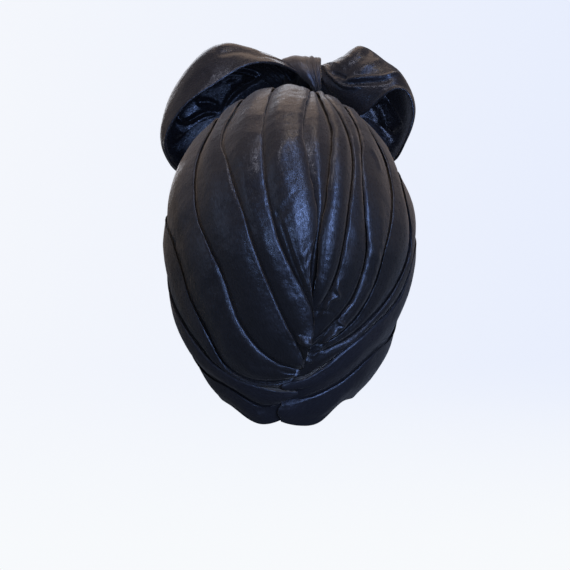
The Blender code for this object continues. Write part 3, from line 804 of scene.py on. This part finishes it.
def make_loop(name, rows, material, seed, outer_creases=(), inner_creases=()):
    around = np.linspace(0, 1, BOW_ROWS)
    across = np.linspace(0, 1, BOW_COLUMNS)
    net = np.array([[sight(x, z, y) for x, z, y in row] for row in rows])
    rounds = np.stack([spline(net[:, k], around) for k in range(net.shape[1])], axis=1)
    grid = np.stack([spline(r, across) for r in rounds])
    normal = grid_normals(grid)
    if np.sum(normal * (grid - grid.mean(axis=(0, 1)))) < 0:
        normal = -normal
    run = np.concatenate([[0], np.cumsum(np.linalg.norm(np.diff(grid[:, BOW_COLUMNS // 2], axis=0), axis=1))])
    widths = np.linalg.norm(np.diff(grid, axis=1), axis=2).sum(axis=1)
    b = across[None, :] * widths[:, None]
    a = np.repeat(run[:, None], BOW_COLUMNS, axis=1)
    free = smooth(around, 0.0, 0.12) * (1 - smooth(around, 0.9, 1.0))
    gather = (1 - smooth(around, 0.0, 0.16)) + smooth(around, 0.86, 1.0)
    pinch = gather[:, None] * (0.8 * np.sin(2 * math.pi * b / 13 + 1.6 * np.sin(a / 19 + seed))
                               + 0.4 * np.sin(2 * math.pi * b / 7.3 + 2.0))
    soft = 0.35 * swells(a, b, seed, 110, 45) + 0.05 * swells(a, b, seed + 3, 30, 18)
    base = grid + normal * (free[:, None] * soft + 0.55 * pinch)[..., None]
    x, z = as_seen(grid)
    turned = np.sum(normal * unit(EYE - grid), axis=-1)
    thick = 1.15
    outer_lift = crease_height(x, z, outer_creases) * smooth(turned, -0.02, 0.16)
    inner_lift = crease_height(x, z, inner_creases) * smooth(-turned, -0.02, 0.16)
    fine = 0.02 * grains(grid, seed + 77, 8.0)
    # a crease bends the whole cloth: sharply on the face it was charted on, softly on the other
    bend_outer = outer_lift - 0.45 * soften(inner_lift)
    bend_inner = 0.45 * soften(outer_lift) - inner_lift
    room = bend_outer - bend_inner
    short = np.maximum(0, -1.1 - room)
    outer = base + normal * (bend_outer + short * (turned < 0) + fine)[..., None]
    inner = base + normal * (bend_inner - short * (turned >= 0) - 2 * thick - fine)[..., None]

    def hem(c, sign):
        """Rounds one edge of the cloth from its outer to its inner face."""
        edge = unit(base[:, c] - base[:, c + sign])
        middle = (outer[:, c] + inner[:, c]) / 2
        half = (outer[:, c] - inner[:, c]) / 2
        size = np.linalg.norm(half, axis=1, keepdims=True)
        return [middle + half * math.cos(t) + edge * size * 1.25 * math.sin(t)
                for t in np.linspace(0, math.pi, 8)[1:-1]]

    rear = hem(0, 1)
    front = hem(BOW_COLUMNS - 1, -1)
    ring = ([outer[:, c] for c in range(BOW_COLUMNS)] + front
            + [inner[:, c] for c in range(BOW_COLUMNS - 1, -1, -1)] + rear[::-1])
    rings = np.stack(ring, axis=1)
    total = rings.shape[1]
    # the ends of the cloth go a little way into the knot
    toward = np.array([(KNOT_MIDDLE_X - grid[0, 0, 0]), 0.0, 0.0])
    toward = toward / abs(toward[0])
    centre = np.array([0.0, -78.0, 245.0])
    first = [rings[0] + toward * d + (centre - rings[0]) * np.array([0, q, q]) for d, q in ((4.5, 0.12), (2.0, 0.04))]
    last = [rings[-1] + toward * d + (centre - rings[-1]) * np.array([0, q, q]) for d, q in ((2.0, 0.04), (4.5, 0.12))]
    rings = np.concatenate([np.stack(first), rings, np.stack(last)])
    rows_all = len(rings)
    v = np.concatenate([[-4.5, -2.0], run, [run[-1] + 2.0, run[-1] + 4.5]])
    u = np.concatenate([[0], np.cumsum(np.linalg.norm(np.diff(rings[BOW_ROWS // 3], axis=0), axis=1))])
    uvs = np.stack([np.tile(u, (rows_all, 1)), np.tile(v[:, None], (1, total))], axis=-1)
    points, faces, uvs = ring_shell(rings, uvs)
    for row, flip in ((0, True), (rows_all - 1, False)):
        start = row * total
        half = total // 2
        cap(faces, [start + c for c in range(half)], [start + c for c in range(total - 1, half - 1, -1)], flip)
    obj = make_piece(name, points, facing_out(points, faces), uvs, material, name_of[name])
    return obj, run[-1] * MM, float(widths.mean()) * MM


def make_knot(name, material, seed):
    rows = np.array(KNOT_SECTIONS, float)
    turn = np.arange(KNOT_ROWS) / KNOT_ROWS
    ring = spline(rows[:, 1:5], turn, closed=True)
    middle = ring[:, :2].mean(axis=0)
    t = np.linspace(0, 1, KNOT_COLUMNS)
    tt, aa = np.meshgrid(t, turn)
    drift = 0.05 * np.sin(2 * math.pi * aa + 0.6) + 0.02 * np.sin(2 * math.pi * aa * 3 + 1.0)
    lift = np.zeros_like(tt)
    for at, half, height in KNOT_FOLDS:
        lift += height * np.exp(-((tt - at - drift) / half) ** 2)
    ends = np.sin(math.pi * np.clip(tt, 0, 1)) ** 0.3
    lift = lift + 0.25 * swells(tt * 25, aa * 115, seed, 30, 14)
    arm = ring[:, None, :2] - middle
    length = np.linalg.norm(arm, axis=-1)
    swell = 1 + 0.05 * np.sin(math.pi * tt)
    out = length * swell * (0.87 + 0.09 * ends) + lift * ends
    yz = middle + arm / length[..., None] * out[..., None]
    k = (EYE[1] - yz[..., 0]) / EYE[1]
    x = (ring[:, 2:3] + tt * (ring[:, 3:4] - ring[:, 2:3])) * k
    grid = np.stack([x, yz[..., 0], EYE[2] + (yz[..., 1] - EYE[2]) * k], axis=-1)
    points = list(grid.reshape(-1, 3))
    uvs = list(np.stack([tt * 25, aa * 115], axis=-1).reshape(-1, 2))
    faces = []
    cols = KNOT_COLUMNS
    for j in range(KNOT_ROWS):
        q = (j + 1) % KNOT_ROWS
        for c in range(cols - 1):
            faces.append((j * cols + c, q * cols + c, q * cols + c + 1, j * cols + c + 1))
    for c, order in ((0, 1), (cols - 1, -1)):
        ids = [j * cols + c for j in range(KNOT_ROWS)]
        centre = np.mean([points[i] for i in ids], axis=0)
        core = np.array([KNOT_MIDDLE_X, centre[1], centre[2]])
        rim = ids
        # the side is drawn in, where the loop's cloth goes in
        for share, deep in ((0.9, 0.35), (0.8, 0.62), (0.45, 0.72)):
            ring_ids = []
            for i in ids:
                flat = points[i] * share + centre * (1 - share)
                points.append(flat + (core - centre) * np.array([deep, 0, 0]))
                uvs.append(uvs[i])
                ring_ids.append(len(points) - 1)
            for j in range(KNOT_ROWS):
                q = (j + 1) % KNOT_ROWS
                f = (rim[j], ring_ids[j], ring_ids[q], rim[q])
                faces.append(f if order > 0 else tuple(reversed(f)))
            rim = ring_ids
        points.append(centre + (core - centre) * np.array([0.75, 0, 0]))
        uvs.append(np.array([0.0, 0.0]))
        hub = len(points) - 1
        for j in range(KNOT_ROWS):
            f = (rim[j], hub, rim[(j + 1) % KNOT_ROWS])
            faces.append(f if order > 0 else tuple(reversed(f)))
    points = np.array(points)
    return make_piece(name, points, facing_out(points, faces), np.array(uvs), material, name_of[name])


# ---- materials ------------------------------------------------------------------------

def satin(name, colour, sheen, roughness):
    """Black satin: fine ribs, a mottled grain and a soft sheen."""
    material = bpy.data.materials.new(name)
    material.use_nodes = True
    nodes, links = material.node_tree.nodes, material.node_tree.links
    shader = nodes["Principled BSDF"]
    shader.inputs["Metallic"].default_value = 0.0
    shader.inputs["Specular Tint"].default_value = (0.62, 0.74, 1.0, 1.0)
    shader.inputs["Sheen Weight"].default_value = sheen
    shader.inputs["Sheen Roughness"].default_value = 0.45
    shader.inputs["Sheen Tint"].default_value = (1.0, 0.93, 0.86, 1.0)
    shader.inputs["Anisotropic"].default_value = 0.35

    cloth = nodes.new("ShaderNodeUVMap")
    cloth.uv_map = "cloth"
    place = nodes.new("ShaderNodeTexCoord")

    mottle = nodes.new("ShaderNodeTexNoise")
    mottle.inputs["Scale"].default_value = 420.0
    mottle.inputs["Detail"].default_value = 3.0
    links.new(place.outputs["Object"], mottle.inputs["Vector"])

    stretch = nodes.new("ShaderNodeMapping")
    stretch.inputs["Scale"].default_value = (900.0, 210.0, 1.0)
    links.new(cloth.outputs["UV"], stretch.inputs["Vector"])
    streak = nodes.new("ShaderNodeTexNoise")
    streak.inputs["Scale"].default_value = 1.0
    streak.inputs["Detail"].default_value = 4.0
    streak.inputs["Roughness"].default_value = 0.65
    links.new(stretch.outputs["Vector"], streak.inputs["Vector"])
    gleam = nodes.new("ShaderNodeMapRange")
    gleam.inputs["From Min"].default_value = 0.36
    gleam.inputs["From Max"].default_value = 0.64
    gleam.inputs["To Min"].default_value = 0.30
    gleam.inputs["To Max"].default_value = 1.0
    links.new(streak.outputs["Fac"], gleam.inputs["Value"])
    shader.inputs["Specular IOR Level"].default_value = 0.65
    links.new(gleam.outputs["Result"], shader.inputs["Specular IOR Level"])

    cloud = nodes.new("ShaderNodeTexNoise")
    cloud.inputs["Scale"].default_value = 45.0
    cloud.inputs["Detail"].default_value = 3.0
    links.new(place.outputs["Object"], cloud.inputs["Vector"])

    ribs = nodes.new("ShaderNodeTexWave")
    ribs.wave_type = "BANDS"
    ribs.bands_direction = "Y"
    ribs.inputs["Scale"].default_value = 330.0
    ribs.inputs["Distortion"].default_value = 1.5
    ribs.inputs["Detail"].default_value = 1.0
    links.new(cloth.outputs["UV"], ribs.inputs["Vector"])

    tint = nodes.new("ShaderNodeMix")
    tint.data_type = "RGBA"
    tint.inputs["A"].default_value = (*[c * 0.75 for c in colour], 1.0)
    tint.inputs["B"].default_value = (*[c * 1.3 for c in colour], 1.0)
    links.new(cloud.outputs["Fac"], tint.inputs["Factor"])
    links.new(tint.outputs["Result"], shader.inputs["Base Color"])

    rough = nodes.new("ShaderNodeMapRange")
    rough.inputs["From Min"].default_value = 0.3
    rough.inputs["From Max"].default_value = 0.7
    rough.inputs["To Min"].default_value = roughness - 0.05
    rough.inputs["To Max"].default_value = roughness + 0.07
    links.new(mottle.outputs["Fac"], rough.inputs["Value"])
    links.new(rough.outputs["Result"], shader.inputs["Roughness"])

    weave = nodes.new("ShaderNodeBump")
    weave.inputs["Strength"].default_value = 0.12
    weave.inputs["Distance"].default_value = 0.0002
    links.new(ribs.outputs["Fac"], weave.inputs["Height"])
    grain = nodes.new("ShaderNodeBump")
    grain.inputs["Strength"].default_value = 0.20
    grain.inputs["Distance"].default_value = 0.0004
    links.new(mottle.outputs["Fac"], grain.inputs["Height"])
    links.new(weave.outputs["Normal"], grain.inputs["Normal"])
    crinkle = nodes.new("ShaderNodeTexNoise")
    crinkle.inputs["Scale"].default_value = 130.0
    crinkle.inputs["Detail"].default_value = 4.0
    crinkle.inputs["Roughness"].default_value = 0.55
    links.new(place.outputs["Object"], crinkle.inputs["Vector"])
    crumple = nodes.new("ShaderNodeBump")
    crumple.inputs["Strength"].default_value = 0.42
    crumple.inputs["Distance"].default_value = 0.0016
    links.new(crinkle.outputs["Fac"], crumple.inputs["Height"])
    links.new(grain.outputs["Normal"], crumple.inputs["Normal"])
    links.new(crumple.outputs["Normal"], shader.inputs["Normal"])
    return material


def stage_paint():
    material = bpy.data.materials.new("studio_sweep")
    material.use_nodes = True
    nodes, links = material.node_tree.nodes, material.node_tree.links
    for node in list(nodes):
        nodes.remove(node)
    out = nodes.new("ShaderNodeOutputMaterial")
    glow = nodes.new("ShaderNodeEmission")
    place = nodes.new("ShaderNodeTexCoord")
    split = nodes.new("ShaderNodeSeparateXYZ")
    links.new(place.outputs["Object"], split.inputs["Vector"])
    span = nodes.new("ShaderNodeMapRange")
    span.inputs["From Min"].default_value = -1.0
    span.inputs["From Max"].default_value = 1.0
    links.new(split.outputs["X"], span.inputs["Value"])
    mix = nodes.new("ShaderNodeMix")
    mix.data_type = "RGBA"
    mix.inputs["A"].default_value = (0.80, 0.85, 0.985, 1.0)
    mix.inputs["B"].default_value = (0.91, 0.93, 0.975, 1.0)
    links.new(span.outputs["Result"], mix.inputs["Factor"])
    near = nodes.new("ShaderNodeMapRange")
    near.inputs["From Min"].default_value = -2.4
    near.inputs["From Max"].default_value = -0.8
    links.new(split.outputs["Y"], near.inputs["Value"])
    floor = nodes.new("ShaderNodeMix")
    floor.data_type = "RGBA"
    floor.inputs["B"].default_value = (0.93, 0.95, 0.975, 1.0)
    links.new(near.outputs["Result"], floor.inputs["Factor"])
    links.new(mix.outputs["Result"], floor.inputs["A"])
    links.new(floor.outputs["Result"], glow.inputs["Color"])
    glow.inputs["Strength"].default_value = 1.0
    links.new(glow.outputs["Emission"], out.inputs["Surface"])
    return material


# ---- stage, lights, camera ----------------------------------------------------------------

def make_stage():
    """A pale floor that sweeps up into a pale wall all round."""
    profile = [(0.0, -0.42), (1.2, -0.42), (2.2, -0.42)]
    profile += [(2.2 + 0.9 * math.sin(t), -0.42 + 0.9 * (1 - math.cos(t))) for t in np.linspace(0.2, math.pi / 2, 8)]
    profile += [(3.1, 1.6), (2.9, 2.4), (2.2, 3.1), (1.1, 3.5), (0.0, 3.6)]
    turns = 64
    points, faces = [], []
    for r, z in profile:
        for i in range(turns):
            a = 2 * math.pi * i / turns
            points.append((r * math.cos(a), r * math.sin(a), z))
    for j in range(len(profile) - 1):
        for i in range(turns):
            k = (i + 1) % turns
            faces.append((j * turns + i, j * turns + k, (j + 1) * turns + k, (j + 1) * turns + i))
    mesh = bpy.data.meshes.new("studio_sweep")
    mesh.from_pydata(points, [], faces)
    mesh.shade_smooth()
    mesh.materials.append(stage_paint())
    obj = bpy.data.objects.new("studio_sweep", mesh)
    bpy.context.scene.collection.objects.link(obj)
    obj.visible_diffuse = False
    obj.visible_glossy = False
    obj.visible_shadow = False


def softbox(name, place, aim, size, power, colour, glossy=True):
    light = bpy.data.lights.new(name, "AREA")
    light.shape = "RECTANGLE"
    light.size, light.size_y = size
    light.energy = power
    light.color = colour
    obj = bpy.data.objects.new(name, light)
    bpy.context.scene.collection.objects.link(obj)
    obj.location = Vector(place)
    obj.rotation_mode = "QUATERNION"
    obj.rotation_quaternion = (Vector(aim) - Vector(place)).to_track_quat("-Z", "Y")
    obj.visible_camera = False
    obj.visible_glossy = glossy


def make_lights():
    softbox("top", (0.0, 0.10, 1.25), (0, 0.0, 0.15), (0.9, 0.8), 12.0, (1.0, 0.79, 0.64), glossy=False)
    softbox("top_gloss", (-0.02, -0.66, 1.08), (0, -0.02, 0.15), (0.7, 0.75), 1.3, (1.0, 0.70, 0.47))
    softbox("top_gold", (-0.16, 0.10, 1.10), (0, 0.03, 0.15), (0.55, 0.09), 0.7, (1.0, 0.72, 0.45))
    softbox("key", (-0.54, 1.26, 0.50), (0, 0.05, 0.12), (0.20, 0.95), 10.5, (0.46, 0.61, 1.0))
    softbox("key_high", (-0.40, 0.58, 1.17), (0, 0.05, 0.14), (0.13, 0.8), 2.2, (0.60, 0.70, 1.0))
    softbox("key_v", (-0.447, 1.227, -0.109), (-0.017, 0.117, 0.035), (0.10, 0.12), 0.9, (0.46, 0.61, 1.0))
    softbox("streak_left", (0.27, 0.58, 1.12), (0.03, 0.09, 0.17), (0.09, 0.45), 1.3, (1.0, 0.86, 0.80))
    softbox("key_low", (0.30, 1.35, 0.16), (0.04, -0.02, 0.22), (0.16, 0.22), 1.8, (0.50, 0.66, 1.0))
    softbox("key_side", (-0.95, 0.95, 0.02), (-0.08, -0.05, 0.20), (0.25, 0.35), 0.5, (0.62, 0.72, 1.0))
    softbox("left", (1.5, 0.5, 0.5), (0, 0.02, 0.1), (0.7, 1.1), 1.2, (0.70, 0.80, 1.0))
    softbox("right", (-1.5, 0.3, 0.5), (0, 0.02, 0.1), (0.7, 1.1), 0.3, (0.80, 0.85, 1.0))
    softbox("in_left_loop", (0.078, -0.046, 0.205), (0.070, -0.10, 0.215), (0.04, 0.012), 0.0032, (0.55, 0.68, 1.0))
    softbox("in_right_loop", (-0.092, -0.036, 0.206), (-0.088, -0.10, 0.200), (0.012, 0.035), 0.018, (0.6, 0.7, 1.0))
    softbox("front", (0.2, -1.5, 0.6), (0, 0, 0.1), (0.9, 0.9), 5.5, (0.9, 0.93, 1.0))
    world = bpy.data.worlds.new("studio")
    world.use_nodes = True
    sky = world.node_tree.nodes["Background"]
    sky.inputs["Color"].default_value = (0.78, 0.84, 1.0, 1.0)
    sky.inputs["Strength"].default_value = 0.05
    bpy.context.scene.world = world


def make_camera():
    data = bpy.data.cameras.new("camera")
    data.sensor_width = 36.0
    data.lens = 80.0
    camera = bpy.data.objects.new("camera", data)
    bpy.context.scene.collection.objects.link(camera)
    place, aim = Vector((0.0, 1.1357, 0.1545)), Vector((0.0, 0.0, 0.0551))
    camera.location = place
    camera.rotation_mode = "QUATERNION"
    camera.rotation_quaternion = (aim - place).to_track_quat("-Z", "Y")
    bpy.context.scene.camera = camera


# ---- build ------------------------------------------------------------------------------

crown_satin = satin("crown_satin", (0.016, 0.0155, 0.0175), 0.20, 0.30)
# The nape's copy of the black satin is bluer than the crown's: painted cool light on the lower wrap.
nape_satin = satin("nape_satin", (0.018, 0.018, 0.024), 0.18, 0.32)
bow_satin = satin("bow_satin", (0.012, 0.012, 0.015), 0.12, 0.28)
# The knot's copy of the black satin is lighter and warmer than the others, with more sheen: painted light, standing in
# for light its lamps don't give it.
knot_satin = satin("knot_satin", (0.026, 0.023, 0.023), 0.32, 0.38)


def sunk_wedge(w, t):
    """The wedge right of the parting dives out of sight towards the V."""
    x, z = as_seen(w.points[0])
    z = np.where(w.points[0][:, 1] > 0, z, 230)
    return 3.6 * (1 - smooth(z, 66, 120)) + 1.2


make_wrap("left_crown_cloth", LEFT_CROWN, LEFT_CROWN_ROLLS, (2.6, 1.4, 1.8, 2.2, 1.6),
                        crown_satin, 11,
                        back_ends=((42, 1.8, 1.6), (10, 2.2, 1.9), (-1, 4.0, 2.1), (-20, 4.6, 2.1),
                                   (-28, 3.0, 1.8), (-34, 0.5, 0.2), (-44, 0.0, -0.8)),
                        front_ends=((221, 1.8, 1.6), (140, 1.8, 1.6)), creases=LEFT_CREASES)
make_wrap("right_crown_cloth", RIGHT_CROWN, RIGHT_CROWN_ROLLS, (3.4, 1.0, 1.4, 1.6, 1.6, 1.4),
                        crown_satin, 41, first_edge=False,
                        back_ends=((42, 0.0, -1.6), (-36, 0.0, -1.2)),
                        front_ends=((221, 0.0, -0.8), (140, 0.0, -0.8)), creases=RIGHT_CREASES,
                        first_sink=sunk_wedge)
make_wrap("left_nape_cloth", LEFT_NAPE, LEFT_NAPE_ROLLS, (1.4, 1.8),
                        nape_satin, 71, rim=True,
                        back_ends=((-44, 9.0, 1.7), (-46, 10.0, 1.8), (-49, 6.5, 1.6), (-52, 2.0, 0.8), (-54, 0.5, 0.0), (-56, 0.0, -1.2),
                                   (-69, 0.0, -1.2)),
                        front_ends=((140, 1.8, 1.6), (65, 1.8, 1.6)), creases=LEFT_NAPE_CREASES)
make_wrap("right_nape_cloth", RIGHT_NAPE, RIGHT_NAPE_ROLLS, (1.8, 1.8),
                        nape_satin, 91, rim=True,
                        back_ends=((-36, 2.0, 0.6), (-37.5, 6.0, 1.0), (-39, 7.5, 1.2), (-41, 5.0, 0.8),
                                   (-43, 1.5, 0.0), (-45, 0.0, -1.2), (-53, 0.0, -1.0), (-55.5, 1.6, 1.0),
                                   (-58, 3.6, 1.8), (-62, 3.4, 1.8), (-66, 1.4, 1.2), (-69, 0.6, 0.8)),
                        front_ends=((140, 0.0, -0.8), (65, 0.0, -0.8)), creases=RIGHT_NAPE_CREASES)

left_loop, run, wide = make_loop("left_loop_cloth", LEFT_LOOP, bow_satin, 121,
                                 LEFT_OUTSIDE, LEFT_INSIDE)
right_loop, run, wide = make_loop("right_loop_cloth", RIGHT_LOOP, bow_satin, 141,
                                  RIGHT_OUTSIDE, RIGHT_INSIDE)
knot = make_knot("knot_cloth", knot_satin, 161)

make_stage()
make_lights()
make_camera()
bpy.context.scene.view_settings.view_transform = "Standard"
